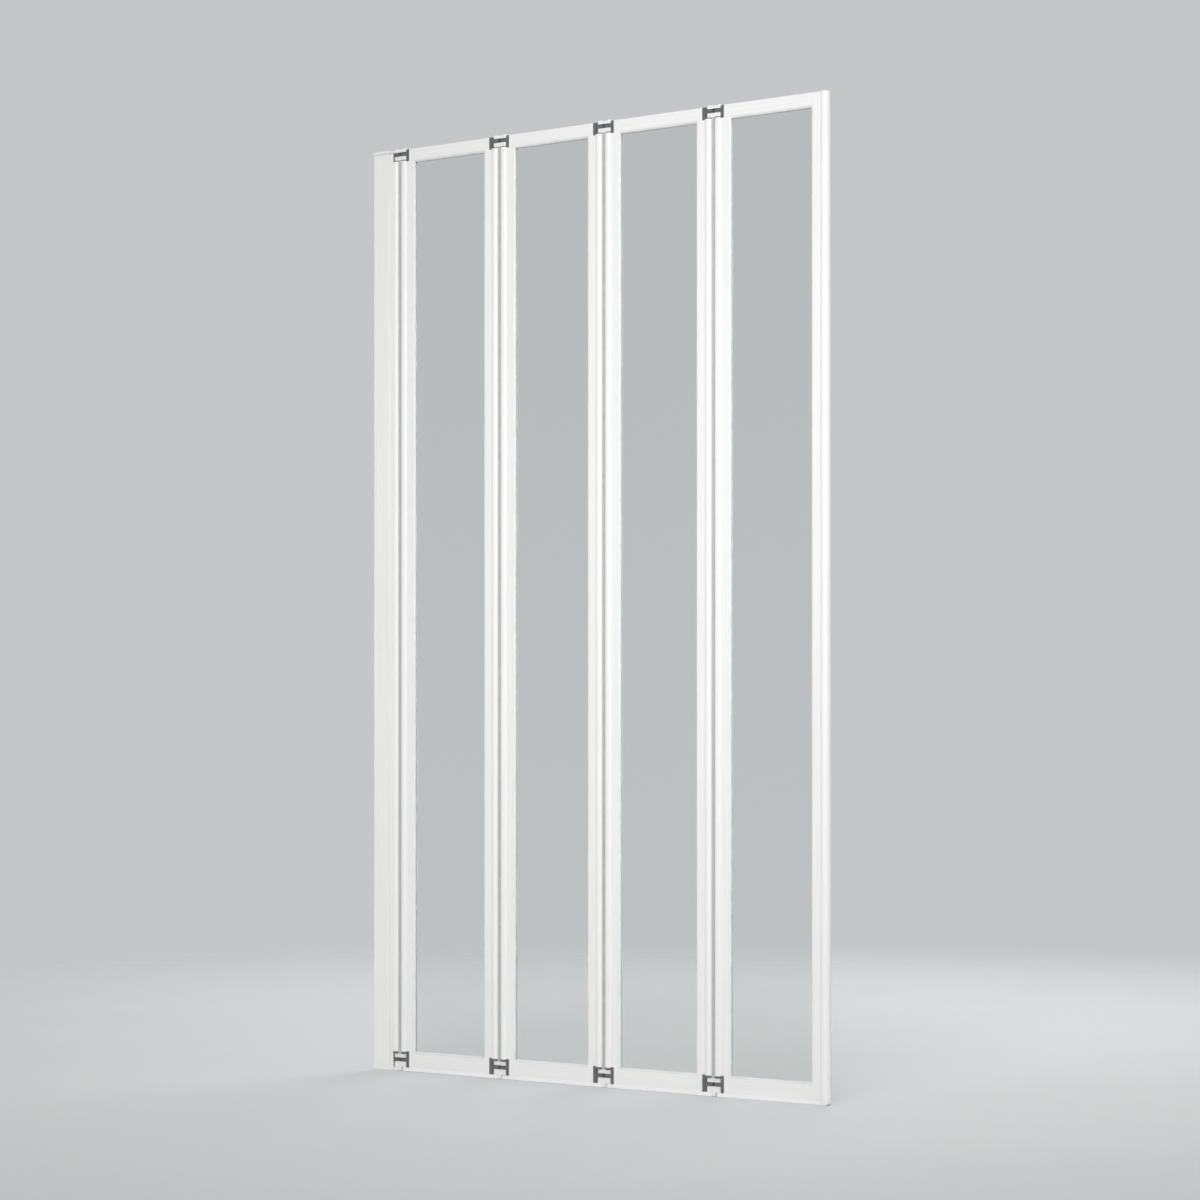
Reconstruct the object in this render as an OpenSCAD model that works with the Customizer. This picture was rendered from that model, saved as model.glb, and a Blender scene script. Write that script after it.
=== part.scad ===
// Four-panel folding bath screen.
// X runs from the wall along the open screen, Y is across it and Z is up.
// The origin is at the foot of the wall channel, in the middle of its back face.
// Each joint has two upright pins, one on the axis of each round nose, so a panel
// can fold flat against its neighbour to either side.

/* [Overall] */
// Height from the foot of the drip seals to the top of the rails
screen_h = 1400; // [1100:10:1700]
// Width from the wall to the free end, with the screen opened flat
screen_w = 844.5; // [700:0.5:1100]
// Width from the wall to the middle of the first joint
wall_w = 48.5; // [45:0.5:65]

/* [Stiles and rails] */
// Radius of the round nose along each stile, whose middle is a pivot axis
nose_r = 7.5; // [7:0.1:9]
// Thickness of the flat part of every stile and rail
frame_t = 9.5; // [9:0.1:10.5]
// Thickness of the aluminium in the stiles and rails
skin_t = 1.4; // [1.2:0.1:1.6]
// Width of a stile from its pivot axis to the clear opening of the glass
stile_w = 22.15; // [22:0.05:32]
// Height of the top rail down to the clear opening
top_sight = 20.8; // [19:0.1:30]
// Height of the bottom rail up to the clear opening
bottom_sight = 25.2; // [24:0.1:36]

/* [Wall side] */
// Thickness of the channel that is screwed to the wall
channel_t = 17.8; // [17.4:0.2:19]
// Depth of that channel from the wall
channel_d = 31; // [28:0.5:33]
// Height between neighbouring wall screw holes
wall_hole_pitch = 366; // [250:1:420]
// Diameter of the wall screw holes
wall_hole_d = 5.5; // [4:0.5:6.5]

/* [Glass and seals] */
// Thickness of the glass
glass_t = 4; // [3:0.5:4]
// Depth of the glass edge past the clear opening
glass_in = 9; // [8:0.1:9]
// Width of the gasket lip that shows round the glass
lip_w = 3.2; // [2:0.1:4]
// Height of the drip seal under the bottom rail
drip_h = 5.5; // [4:0.1:8]
// Thickness across the soft strip that closes a joint
joint_seal_t = 10; // [7:0.2:10.4]

/* [Joints] */
// Gap between the noses of two neighbours
nose_gap = 2.5; // [2:0.1:4]
// Diameter of the hinge pins
pin_d = 4; // [3:0.1:4.4]
// Running clearance round a pin in its bearing block, on the radius
pin_play = 0.05; // [0.02:0.01:0.1]
// Gap between pieces that turn past each other
turn_gap = 0.3; // [0.25:0.05:0.4]
// Thickness of the arm that each bearing block puts round a pin
arm_t = 5.6; // [4:0.1:6]
// Middle of the upper arms, down from the top of the rails
top_arm = 6.2; // [6:0.1:7]
// Middle of the lower arms, up from the foot of the rails
bottom_arm = 11.5; // [10:0.1:13]
// Height of nose cut away for the upper fitting
top_cut = 17; // [15:0.5:22]
// Height of nose cut away for the lower fitting
bottom_cut = 23.6; // [22:0.1:28]

/* [Hidden] */
$fn = 48;
through = 1;              // how far a cutting shape runs past what it cuts

// plan of the panels and joints
panels = 4;
pitch = (screen_w - wall_w) / panels;
pivot_off = nose_r + nose_gap / 2;          // joint middle to pivot axis
flat_y = frame_t / 2;

// stile and rail sections; widths from the pivot axis, heights from the outer edge
gasket_base = 1.5;
set_back = 0.25;          // gasket lips and hinge fittings, behind the flats
lip_tip = 0.6;            // thickness of a gasket lip at its edge
slip = 0.1;               // clearance of pieces that slide into one another
glass_seat = glass_in + gasket_base + slip; // clear opening to channel floor
inner_y = flat_y - skin_t;
metal_x = stile_w - lip_w;
floor_x = stile_w - glass_seat;
top_floor = top_sight - glass_seat;
bottom_floor = bottom_sight - glass_seat;
port_wall = 1.4;
screw_r = 1.5;            // every screw, which meets the thread it cuts
head_r = 3;
head_h = 2.2;
key_screw_r = 1.3;
key_head_r = 2.7;

// slot under the bottom rail that holds the drip seal
hook_t = 0.9;
hook_w = 0.75;
slot_h = 2.5;
slot_y = inner_y - hook_w;
fin_t = 1.2;
fin_h = 2.4;

// bearing blocks; x from the pivot axis
link_r = flat_y - set_back;
leg_back = 1;             // end of the leg to the floor of the glass channel
leg_end = floor_x - leg_back;
leg_over = 1;             // the leg runs this much past the cut end of the nose
port_back = 2;            // middle of the screw port to the end of the leg
port_x = leg_end - port_back;
key_y = inner_y - slip;
key_h = 6.4;
key_len = 14;
key_screw_in = 8;         // from the end of the rail
key_screw_x = metal_x + key_screw_in;
top_key = skin_t + slip;
bottom_key = slot_h + skin_t + slip;
stile_screw_len = 32;
key_screw_len = 6;

// link plates and pins
top_gap = 1.7;            // end of the nose to the inner link plate
bottom_gap = 3.4;
plate_rise = 1.2;         // the upper plate's top above the rails
pin_head_r = 4.2;
pin_head_h = 1.8;
sunk_head_r = 3.2;
sunk_head_h = 1.6;
inner_grip = 4.5;         // depth of the pin in the inner plate

// wall side
channel_wall = 1.7;
channel_web = 1.8;
channel_y = channel_t / 2;
channel_in = channel_y - channel_wall;
slide_gap = 0.2;          // clearance of the profile in the channel, each side
slider_y = channel_in - slide_gap;
slider_skin = 1.6;
slider_back = 9;
cap_t = 4;                // height of the wall cap above the channel
cap_over = 1.9;           // how far that cap stands proud of the channel
cap_rise = 0.5;           // the wall cap's top above the rails
cap_corner = 2;
foot_t = 2.5;
plug_h = 7;
wall_axis = wall_w - pivot_off;
wall_leg_x = wall_axis - flat_y;
wall_leg_w = 10;
wall_lip = 2;             // the profile's flats run this much past the leg, to the nose
wall_port_x = wall_leg_x - wall_leg_w / 2;
top_leg = cap_t - cap_rise;      // starts under the cap
bottom_leg = bottom_arm - arm_t / 2 - 2 * slip;
wall_screw_grip = 6.1;    // depth of that screw in the profile's port
adjust_x = 20;
adjust_pitch = 520;
cover_r = 5.5;
cover_h = 3.4;
cover_taper = 1;
upright_top = screen_h + cap_rise - cap_t;   // channel and profile, under the cap

// free end
end_cap_t = 3;
end_round = 6;
top_round = 2.5;

function joint_x(k) = wall_w + (k - 1) * pitch;
function left_axis(k) = joint_x(k) + pivot_off;
function right_axis(k) = k < panels ? joint_x(k + 1) - pivot_off : screen_w - nose_r;
function panel_len(k) = right_axis(k) - left_axis(k);

// ---- places ----

// the top end of a panel: what is drawn upwards hangs down from the top of the rails
module at_top() {
    translate([0, 0, screen_h]) mirror([0, 0, 1]) children();
}

// the bottom end of a panel: heights from the foot of the rails
module at_bottom() {
    translate([0, 0, drip_h]) children();
}

// panel k, with its left pivot axis at x = 0
module on_panel(k) {
    translate([left_axis(k), 0, 0]) children();
}

// the right side of panel k, drawn as if it were a left side
module on_right(k) {
    translate([panel_len(k), 0, 0]) mirror([1, 0, 0]) children();
}

// both sides of panel k
module on_both_sides(k) {
    children();
    on_right(k) children();
}

// both pin axes of joint k
module on_pins(k) {
    for (side = [-1, 1])
        translate([joint_x(k) + side * pivot_off, 0, 0]) children();
}

// a section drawn across Y and up, pushed along X from x0 to x1
module along_x(x0, x1) {
    translate([x0, 0, 0]) rotate([90, 0, 90]) linear_extrude(x1 - x0) children();
}

// a bar between two heights and the distance y either side of the middle
module band(low, high, y) {
    translate([-y, low]) square([2 * y, high - low]);
}

// ---- panel profiles ----

// outside of a stile: a round nose on the pivot axis and the flats beside it
module stile_outline() {
    circle(nose_r);
    translate([0, -flat_y]) square([metal_x, frame_t]);
}

// stile: nose chamber with a screw port, a web, and the channel for the glass
module stile_section() {
    difference() {
        stile_outline();
        difference() {
            union() {
                circle(nose_r - skin_t);
                translate([0, -inner_y]) square([floor_x - skin_t, 2 * inner_y]);
            }
            translate([port_x, 0]) circle(screw_r + port_wall);
            translate([port_x, -screw_r - port_wall])
                square([floor_x - port_x, 2 * (screw_r + port_wall)]);
        }
        translate([port_x, 0]) circle(screw_r);
        translate([floor_x, -inner_y]) square([metal_x, 2 * inner_y]);
    }
}

// hole in a stile end for a block: the nose, the leg, and the web behind the leg
module block_notch(cut, key) {
    reach = nose_r + through;
    translate([-reach, -reach, -through])
        cube([reach + flat_y, 2 * reach, cut + through]);
    translate([flat_y, -reach, -through])
        cube([leg_end - flat_y, 2 * reach, cut + leg_over + through]);
    web_notch(key);
}

module web_notch(key) {
    translate([leg_end, -inner_y, -through])
        cube([floor_x - leg_end + through, 2 * inner_y, key + key_h + slip + through]);
}

module hinge_stile() {
    color("whitesmoke") difference() {
        translate([0, 0, drip_h]) linear_extrude(screen_h - drip_h) stile_section();
        at_top() block_notch(top_cut, top_key);
        at_bottom() block_notch(bottom_cut, bottom_key);
    }
}

// the last stile has no pivots: its ends are whole and wear caps
module end_stile() {
    color("whitesmoke") difference() {
        translate([0, 0, drip_h + end_cap_t])
            linear_extrude(screen_h - drip_h - 2 * end_cap_t) stile_section();
        at_top() web_notch(top_key);
        at_bottom() web_notch(bottom_key);
    }
}

module left_stile(k) {
    on_panel(k) hinge_stile();
}

module right_stile(k) {
    on_panel(k) on_right(k) if (k < panels) hinge_stile(); else end_stile();
}

// countersunk hole for the screw that holds a key in a rail
module key_screw_hole(skin_at) {
    translate([key_screw_x, 0, skin_at])
        cylinder(h = skin_t, r1 = key_head_r, r2 = key_screw_r);
}

module top_rail(k) {
    color("whitesmoke") on_panel(k) at_top() difference() {
        along_x(metal_x, panel_len(k) - metal_x) difference() {
            band(0, top_sight - lip_w, flat_y);
            band(skin_t, top_floor - skin_t, inner_y);
            band(top_floor, top_sight, inner_y);
        }
        on_both_sides(k) key_screw_hole(0);
    }
}

module bottom_rail(k) {
    color("whitesmoke") on_panel(k) at_bottom() difference() {
        along_x(metal_x, panel_len(k) - metal_x) difference() {
            band(0, bottom_sight - lip_w, flat_y);
            band(-through, slot_h, slot_y);
            band(hook_t, slot_h, inner_y);
            band(slot_h + skin_t, bottom_floor - skin_t, inner_y);
            band(bottom_floor, bottom_sight, inner_y);
        }
        on_both_sides(k) key_screw_hole(slot_h);
    }
}

// ---- glass and seals ----

module glass(k) {
    color("lightcyan", 0.3) on_panel(k)
        translate([stile_w - glass_in, -glass_t / 2, drip_h + bottom_sight - glass_in])
        cube([
            panel_len(k) - 2 * (stile_w - glass_in),
            glass_t,
            screen_h - drip_h - top_sight - bottom_sight + 2 * glass_in
        ]);
}

// one side of the gasket along X: the clear opening is above z = 0, from x = 0 to len
module gasket_side(len) {
    outer = glass_in + gasket_base;
    shoulder_y = flat_y - set_back;
    tip_y = glass_t / 2 + lip_tip;
    intersection() {
        along_x(-outer, len + outer) difference() {
            union() {
                band(-outer, -lip_w, inner_y);
                polygon([
                    [-tip_y, 0], [-shoulder_y, -lip_w],
                    [shoulder_y, -lip_w], [tip_y, 0]
                ]);
            }
            band(-glass_in, through, glass_t / 2);
        }
        rotate([90, 0, 0]) linear_extrude(3 * frame_t, center = true)
            polygon([[-outer, -outer], [len + outer, -outer], [len, 0], [0, 0]]);
    }
}

module gasket(k) {
    open_w = panel_len(k) - 2 * stile_w;
    open_h = screen_h - drip_h - top_sight - bottom_sight;
    color("gainsboro") on_panel(k) translate([stile_w, 0, drip_h + bottom_sight]) {
        gasket_side(open_w);
        translate([0, 0, open_h]) mirror([0, 0, 1]) gasket_side(open_w);
        mirror([1, 0, 0]) rotate([0, -90, 0]) gasket_side(open_h);
        translate([open_w, 0, 0]) rotate([0, -90, 0]) gasket_side(open_h);
    }
}

// plan of the drip seal, drawn in by inset all round
module drip_plan(k, inset) {
    r = flat_y - inset;
    last = k < panels ? panel_len(k) : panel_len(k) - flat_y - slip;
    circle(r);
    translate([0, -r]) square([last - (k < panels ? 0 : inset), 2 * r]);
    if (k < panels) translate([last, 0]) circle(r);
}

module drip_seal(k) {
    head_y = inner_y - slip;
    stem_y = slot_y - slip;
    color("white") on_panel(k) {
        difference() {
            linear_extrude(drip_h) drip_plan(k, 0);
            translate([0, 0, -through]) linear_extrude(fin_h + through) drip_plan(k, fin_t);
        }
        at_bottom() along_x(metal_x, panel_len(k) - metal_x) {
            band(-through, hook_t + slip, stem_y);
            band(hook_t + slip, slot_h - 3 * slip, head_y);
        }
    }
}

// soft strip between two noses: it turns with the link, so both noses stay clear of it
module joint_seal(k) {
    low = drip_h + bottom_cut - bottom_gap;
    high = screen_h - top_cut + top_gap;
    color("silver") translate([joint_x(k), 0, low]) linear_extrude(high - low)
        difference() {
            square([2 * pivot_off, joint_seal_t], center = true);
            for (side = [-1, 1])
                translate([side * pivot_off, 0]) circle(nose_r + turn_gap);
        }
}

// ---- joints ----

// arm of a bearing block: a flat bar with a round end about the pin
module arm_plan(reach) {
    intersection() {
        circle(nose_r);
        translate([-nose_r, -link_r]) square([nose_r, 2 * link_r]);
    }
    translate([0, -link_r]) square([reach, 2 * link_r]);
}

// plate that closes the cut end of a nose, clear of the inner link plate; its round
// part ends at reach, and from there a neck of half width y joins it to the leg
module nose_end(cut, gap, reach, y) {
    translate([0, 0, cut - gap + turn_gap]) linear_extrude(gap - turn_gap) {
        intersection() {
            circle(nose_r - set_back);
            translate([-nose_r, -nose_r]) square([nose_r + reach, 2 * nose_r]);
        }
        translate([0, -y]) square([flat_y, 2 * y]);
    }
}

// arm round the pin, leg in the stile's notch, and a key into the end of the rail
module bearing_block(arm, cut, gap, key) {
    leg_h = cut + leg_over;
    difference() {
        union() {
            translate([0, 0, arm - arm_t / 2]) linear_extrude(arm_t) arm_plan(flat_y);
            nose_end(cut, gap, flat_y, flat_y);
            translate([flat_y, -flat_y, 0]) cube([leg_end - flat_y, frame_t, leg_h]);
            rail_key(0, key);
        }
        cylinder(h = leg_h, r = pin_d / 2 + pin_play);
        translate([port_x, 0, -through]) cylinder(h = leg_h + 2 * through, r = screw_r + slip);
        translate([port_x, 0, -through]) cylinder(h = head_h + through, r = head_r);
        key_screw_bore(key);
    }
}

// the part of a corner piece that lies in the stile's channel and in the rail
module rail_key(low, key) {
    translate([leg_end, -key_y, low])
        cube([metal_x - leg_end, 2 * key_y, key + key_h - low]);
    translate([leg_end, -key_y, key])
        cube([metal_x - leg_end + key_len, 2 * key_y, key_h]);
}

module key_screw_bore(key) {
    translate([key_screw_x, 0, key - through])
        cylinder(h = key_screw_len + through - skin_t, r = key_screw_r);
}

// the upper and lower blocks of one stile
module block_pair() {
    at_top() bearing_block(top_arm, top_cut, top_gap, top_key);
    at_bottom() bearing_block(bottom_arm, bottom_cut, bottom_gap, bottom_key);
}

module hinge_blocks(k) {
    color("dimgray") on_panel(k) {
        block_pair();
        if (k < panels) on_right(k) block_pair();
    }
}

// pan-headed screw, drawn upwards from the seat of its head
module pan_screw(len) {
    translate([0, 0, -head_h]) cylinder(h = head_h, r = head_r - slip);
    cylinder(h = len, r = screw_r);
}

// countersunk screw through a rail's skin into a key
module key_screw(skin_at) {
    translate([key_screw_x, 0, skin_at]) {
        cylinder(h = skin_t, r1 = key_head_r, r2 = key_screw_r);
        cylinder(h = key_screw_len, r = key_screw_r);
    }
}

// the screws at one corner: one up the stile's port, one into the key
module corner_screws(skin_at) {
    translate([port_x, 0, head_h]) pan_screw(stile_screw_len);
    key_screw(skin_at);
}

module panel_screws(k) {
    color("silver") on_panel(k) on_both_sides(k) {
        at_top() corner_screws(0);
        at_bottom() corner_screws(slot_h);
    }
}

// plan of a link plate: a bar with a round end about each pin
module link_plan() {
    translate([-pivot_off, -link_r]) square([2 * pivot_off, 2 * link_r]);
    for (side = [-1, 1]) translate([side * pivot_off, 0]) circle(link_r);
}

// the outer and inner plates of one end of a joint, with room for the arms between
module plate_pair(low, arm, high, sunk) {
    inner = arm + arm_t / 2 + turn_gap;
    difference() {
        union() {
            translate([0, 0, low])
                linear_extrude(arm - arm_t / 2 - turn_gap - low) link_plan();
            translate([0, 0, inner]) linear_extrude(high - inner) link_plan();
        }
        for (side = [-1, 1]) translate([side * pivot_off, 0, 0]) {
            translate([0, 0, low - through])
                cylinder(h = inner + inner_grip - low + through, r = pin_d / 2);
            if (sunk) translate([0, 0, low - through])
                cylinder(h = sunk_head_h + through, r = sunk_head_r + slip);
        }
    }
}

// narrows the gap between two drip seals; they clear it with the link square to either
module link_skirt() {
    skirt_x = pivot_off - flat_y - turn_gap;
    translate([-skirt_x, -link_r, turn_gap - drip_h]) cube([2 * skirt_x, 2 * link_r, drip_h]);
}

module link_plates(k) {
    color("white") translate([joint_x(k), 0, 0]) {
        at_top() plate_pair(-plate_rise, top_arm, top_cut - top_gap, false);
        at_bottom() {
            plate_pair(turn_gap, bottom_arm, bottom_cut - bottom_gap, true);
            link_skirt();
        }
    }
}

// upper pin: a domed head on the outer plate
module domed_pin() {
    ball = (pow(pin_head_r, 2) + pow(pin_head_h, 2)) / (2 * pin_head_h);
    translate([0, 0, -plate_rise]) {
        intersection() {
            translate([0, 0, ball - pin_head_h]) sphere(ball);
            translate([0, 0, -pin_head_h]) cylinder(h = pin_head_h, r = pin_head_r);
        }
        cylinder(h = plate_rise + top_arm + arm_t / 2 + turn_gap + inner_grip, r = pin_d / 2);
    }
}

// lower pin: a flat head sunk in the outer plate, over the drip seals
module sunk_pin() {
    translate([0, 0, turn_gap]) {
        cylinder(h = sunk_head_h, r = sunk_head_r);
        cylinder(h = bottom_arm + arm_t / 2 + inner_grip, r = pin_d / 2);
    }
}

module joint_pins(k) {
    color("silver") on_pins(k) {
        at_top() domed_pin();
        at_bottom() sunk_pin();
    }
}

// ---- wall side ----

// an upright at wall_axis, drawn with its flats towards the wall
module slider_outline() {
    translate([wall_axis, 0]) circle(nose_r);
    translate([slider_back, -slider_y]) square([wall_axis - slider_back, 2 * slider_y]);
}

module wall_channel() {
    tip_r = channel_wall / 2;
    color("whitesmoke") difference() {
        linear_extrude(upright_top) {
            translate([0, -channel_y]) square([channel_web, channel_t]);
            for (side = [-1, 1]) translate([0, side * (channel_in + tip_r)]) {
                translate([0, -tip_r]) square([channel_d - tip_r, channel_wall]);
                translate([channel_d - tip_r, 0]) circle(tip_r);
            }
        }
        for (n = [-1.5:1.5])
            translate([-through, 0, screen_h / 2 + n * wall_hole_pitch]) rotate([0, 90, 0])
                cylinder(h = channel_web + 2 * through, r = wall_hole_d / 2);
        at_adjusting_screws() translate([0, 0, -through])
            cylinder(h = channel_wall + 2 * through, r = screw_r + 2 * slip);
    }
}

// the adjusting screws go in from the back, +Y, towards the middle
module at_adjusting_screws() {
    for (n = [-1:1])
        translate([adjust_x, channel_y, screen_h / 2 + n * adjust_pitch])
            rotate([90, 0, 0]) children();
}

// slides in the channel to suit a wall that isn't plumb, then is screwed to it
module adjusting_profile() {
    port_r = screw_r + port_wall;
    chamber_y = slider_y - slider_skin;
    color("whitesmoke") difference() {
        translate([0, 0, foot_t]) linear_extrude(upright_top - foot_t) difference() {
            slider_outline();
            difference() {
                union() {
                    translate([wall_axis, 0]) circle(nose_r - slider_skin);
                    translate([slider_back + slider_skin, -chamber_y])
                        square([wall_axis - slider_back - slider_skin, 2 * chamber_y]);
                }
                translate([wall_port_x, 0]) circle(port_r);
                translate([wall_port_x - port_wall / 2, -chamber_y])
                    square([port_wall, 2 * chamber_y]);
            }
            translate([wall_port_x, 0]) circle(screw_r);
        }
        at_top() wall_notch(top_cut, 0);
        at_bottom() wall_notch(bottom_cut, -drip_h);
        at_adjusting_screws() cylinder(h = channel_t / 2 - slip, r = screw_r);
    }
}

// takes off the nose at one end, and the port and its rib behind it
module wall_notch(cut, low) {
    reach = nose_r + through;
    leg_y = slider_y - slider_skin;
    translate([wall_leg_x + wall_lip, -reach, low - through])
        cube([2 * reach, 2 * reach, cut - low + through]);
    translate([wall_leg_x - wall_leg_w, -leg_y, low - through])
        cube([wall_leg_w + wall_lip + through, 2 * leg_y, cut - low + through]);
}

// arm round the pin, a leg plugged into the profile, and the end of its nose
module wall_block(arm, leg, cut, gap) {
    leg_y = slider_y - slider_skin - slip;
    leg_h = cut - leg;
    difference() {
        union() {
            translate([wall_axis, 0, 0]) mirror([1, 0, 0]) {
                translate([0, 0, arm - arm_t / 2]) linear_extrude(arm_t) arm_plan(flat_y);
                nose_end(cut, gap, flat_y - wall_lip - slip, leg_y);
            }
            translate([wall_leg_x - wall_leg_w + slip, -leg_y, leg])
                cube([wall_leg_w - slip, 2 * leg_y, leg_h]);
        }
        translate([wall_axis, 0, 0]) cylinder(h = cut, r = pin_d / 2 + pin_play);
        translate([wall_port_x, 0, leg - through]) {
            cylinder(h = leg_h + 2 * through, r = screw_r + slip);
            cylinder(h = head_h + through, r = head_r);
        }
    }
}

module wall_hinge_blocks() {
    color("dimgray") {
        at_top() wall_block(top_arm, top_leg, top_cut, top_gap);
        at_bottom() wall_block(bottom_arm, bottom_leg, bottom_cut, bottom_gap);
    }
}

module wall_block_screw(leg, cut) {
    seat = leg + head_h;
    translate([wall_port_x, 0, seat]) pan_screw(cut - seat + wall_screw_grip);
}

module wall_block_screws() {
    color("silver") {
        at_top() wall_block_screw(top_leg, top_cut);
        at_bottom() wall_block_screw(bottom_leg, bottom_cut);
    }
}

module adjusting_screws() {
    color("silver") at_adjusting_screws() pan_screw(channel_t / 2 - slip);
}

module screw_covers() {
    color("white") at_adjusting_screws() mirror([0, 0, 1]) difference() {
        cylinder(h = cover_h, r1 = cover_r, r2 = cover_r - cover_taper);
        translate([0, 0, -through]) cylinder(h = head_h + slip + through, r = head_r + slip);
    }
}

// a plug that fits inside the adjusting profile, clear of the screw port
module slider_plug() {
    plug_y = slider_y - slider_skin - slip;
    plug_x = slider_back + slider_skin + slip;
    translate([plug_x, -plug_y, 0]) cube([adjust_x - plug_x, 2 * plug_y, plug_h]);
}

module wall_top_cap() {
    cap_y = channel_y + cap_over;
    cap_x = wall_leg_x - slip;
    straight_x = cap_x - cap_corner;
    straight_y = cap_y - cap_corner;
    color("white") translate([0, 0, upright_top]) {
        linear_extrude(cap_t) {
            translate([0, -cap_y]) square([straight_x, 2 * cap_y]);
            translate([0, -straight_y]) square([cap_x, 2 * straight_y]);
            for (side = [-1, 1])
                translate([straight_x, side * straight_y]) circle(cap_corner);
        }
        mirror([0, 0, 1]) slider_plug();
    }
}

// closes the foot of the wall side, with a tongue in line with the drip seals
module wall_bottom_cap() {
    color("white") {
        linear_extrude(foot_t) {
            translate([channel_web, -channel_in])
                square([channel_d - channel_web, 2 * channel_in]);
            translate([slider_back, -slider_y])
                square([wall_leg_x + wall_lip - slider_back, 2 * slider_y]);
        }
        linear_extrude(drip_h) {
            translate([wall_axis, 0]) circle(flat_y);
            translate([wall_leg_x, -flat_y]) square([flat_y, frame_t]);
        }
        translate([0, 0, foot_t]) slider_plug();
    }
}

// ---- free end ----

// an upright outline with its outer lower corner rounded, drawn across X and Z
module rounded_end(low, high, r) {
    rotate([90, 0, 0]) linear_extrude(4 * nose_r, center = true) {
        translate([r - nose_r, low]) square([metal_x + nose_r, high - low]);
        translate([-nose_r, low + r]) square([metal_x + nose_r, high - low - r]);
        translate([r - nose_r, low + r]) circle(r);
    }
}

// a cap on the end of the last stile, with a key into the rail
module end_cap(low, key, r) {
    difference() {
        intersection() {
            union() {
                linear_extrude(end_cap_t) stile_outline();
                if (low < 0) translate([0, 0, low]) linear_extrude(-low + through)
                    intersection() {
                        stile_outline();
                        translate([-nose_r, -nose_r])
                            square([nose_r + flat_y, 2 * nose_r]);
                    }
                rail_key(end_cap_t - slip, key);
            }
            union() {
                rounded_end(low, end_cap_t, r);
                translate([0, -nose_r, 0]) cube([metal_x + key_len, 2 * nose_r, key + key_h]);
            }
        }
        translate([port_x, 0, low - through])
            cylinder(h = end_cap_t - low + 2 * through, r = screw_r + slip);
        translate([port_x, 0, low - through]) cylinder(h = head_h - low + through, r = head_r);
        key_screw_bore(key);
    }
}

module free_end_caps() {
    color("white") on_panel(panels) on_right(panels) {
        at_top() end_cap(0, top_key, top_round);
        at_bottom() end_cap(-drip_h, bottom_key, end_round);
    }
}

wall_channel();
adjusting_profile();
wall_top_cap();
wall_bottom_cap();
adjusting_screws();
screw_covers();
wall_hinge_blocks();
wall_block_screws();
link_plates(1);  // joint_1_link_plates
joint_pins(1);  // joint_1_pins
joint_seal(1);  // joint_1_seal
left_stile(1);  // panel_1_left_stile
right_stile(1);  // panel_1_right_stile
top_rail(1);  // panel_1_top_rail
bottom_rail(1);  // panel_1_bottom_rail
glass(1);  // panel_1_glass
gasket(1);  // panel_1_gasket
drip_seal(1);  // panel_1_drip_seal
hinge_blocks(1);  // panel_1_hinge_blocks
panel_screws(1);  // panel_1_screws
link_plates(2);  // joint_2_link_plates
joint_pins(2);  // joint_2_pins
joint_seal(2);  // joint_2_seal
left_stile(2);  // panel_2_left_stile
right_stile(2);  // panel_2_right_stile
top_rail(2);  // panel_2_top_rail
bottom_rail(2);  // panel_2_bottom_rail
glass(2);  // panel_2_glass
gasket(2);  // panel_2_gasket
drip_seal(2);  // panel_2_drip_seal
hinge_blocks(2);  // panel_2_hinge_blocks
panel_screws(2);  // panel_2_screws
link_plates(3);  // joint_3_link_plates
joint_pins(3);  // joint_3_pins
joint_seal(3);  // joint_3_seal
left_stile(3);  // panel_3_left_stile
right_stile(3);  // panel_3_right_stile
top_rail(3);  // panel_3_top_rail
bottom_rail(3);  // panel_3_bottom_rail
glass(3);  // panel_3_glass
gasket(3);  // panel_3_gasket
drip_seal(3);  // panel_3_drip_seal
hinge_blocks(3);  // panel_3_hinge_blocks
panel_screws(3);  // panel_3_screws
link_plates(4);  // joint_4_link_plates
joint_pins(4);  // joint_4_pins
joint_seal(4);  // joint_4_seal
left_stile(4);  // panel_4_left_stile
right_stile(4);  // panel_4_right_stile
top_rail(4);  // panel_4_top_rail
bottom_rail(4);  // panel_4_bottom_rail
glass(4);  // panel_4_glass
gasket(4);  // panel_4_gasket
drip_seal(4);  // panel_4_drip_seal
hinge_blocks(4);  // panel_4_hinge_blocks
panel_screws(4);  // panel_4_screws
free_end_caps();
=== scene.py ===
import math

import bpy
import numpy as np
from mathutils.geometry import tessellate_polygon
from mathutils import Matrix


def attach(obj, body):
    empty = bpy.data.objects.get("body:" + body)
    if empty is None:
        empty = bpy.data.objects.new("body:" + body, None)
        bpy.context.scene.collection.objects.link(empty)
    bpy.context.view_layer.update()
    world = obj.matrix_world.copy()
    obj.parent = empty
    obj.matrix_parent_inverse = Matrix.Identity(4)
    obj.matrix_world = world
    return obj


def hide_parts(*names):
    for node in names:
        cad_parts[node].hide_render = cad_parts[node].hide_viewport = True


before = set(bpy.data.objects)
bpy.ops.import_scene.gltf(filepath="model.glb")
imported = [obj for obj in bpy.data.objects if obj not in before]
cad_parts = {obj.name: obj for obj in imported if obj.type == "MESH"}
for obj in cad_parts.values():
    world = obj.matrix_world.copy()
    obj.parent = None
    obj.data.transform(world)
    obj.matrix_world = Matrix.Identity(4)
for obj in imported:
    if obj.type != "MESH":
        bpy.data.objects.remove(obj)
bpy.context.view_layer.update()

# ---- Wall channel ------------------------------------------------------------
# A U-shaped aluminium extrusion with round tips, screwed to the wall through its
# web. It is powder-coated white as a long bar and cut afterwards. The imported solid
# is right, so it stays, and gets the small radius that die and coating leave.


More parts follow.
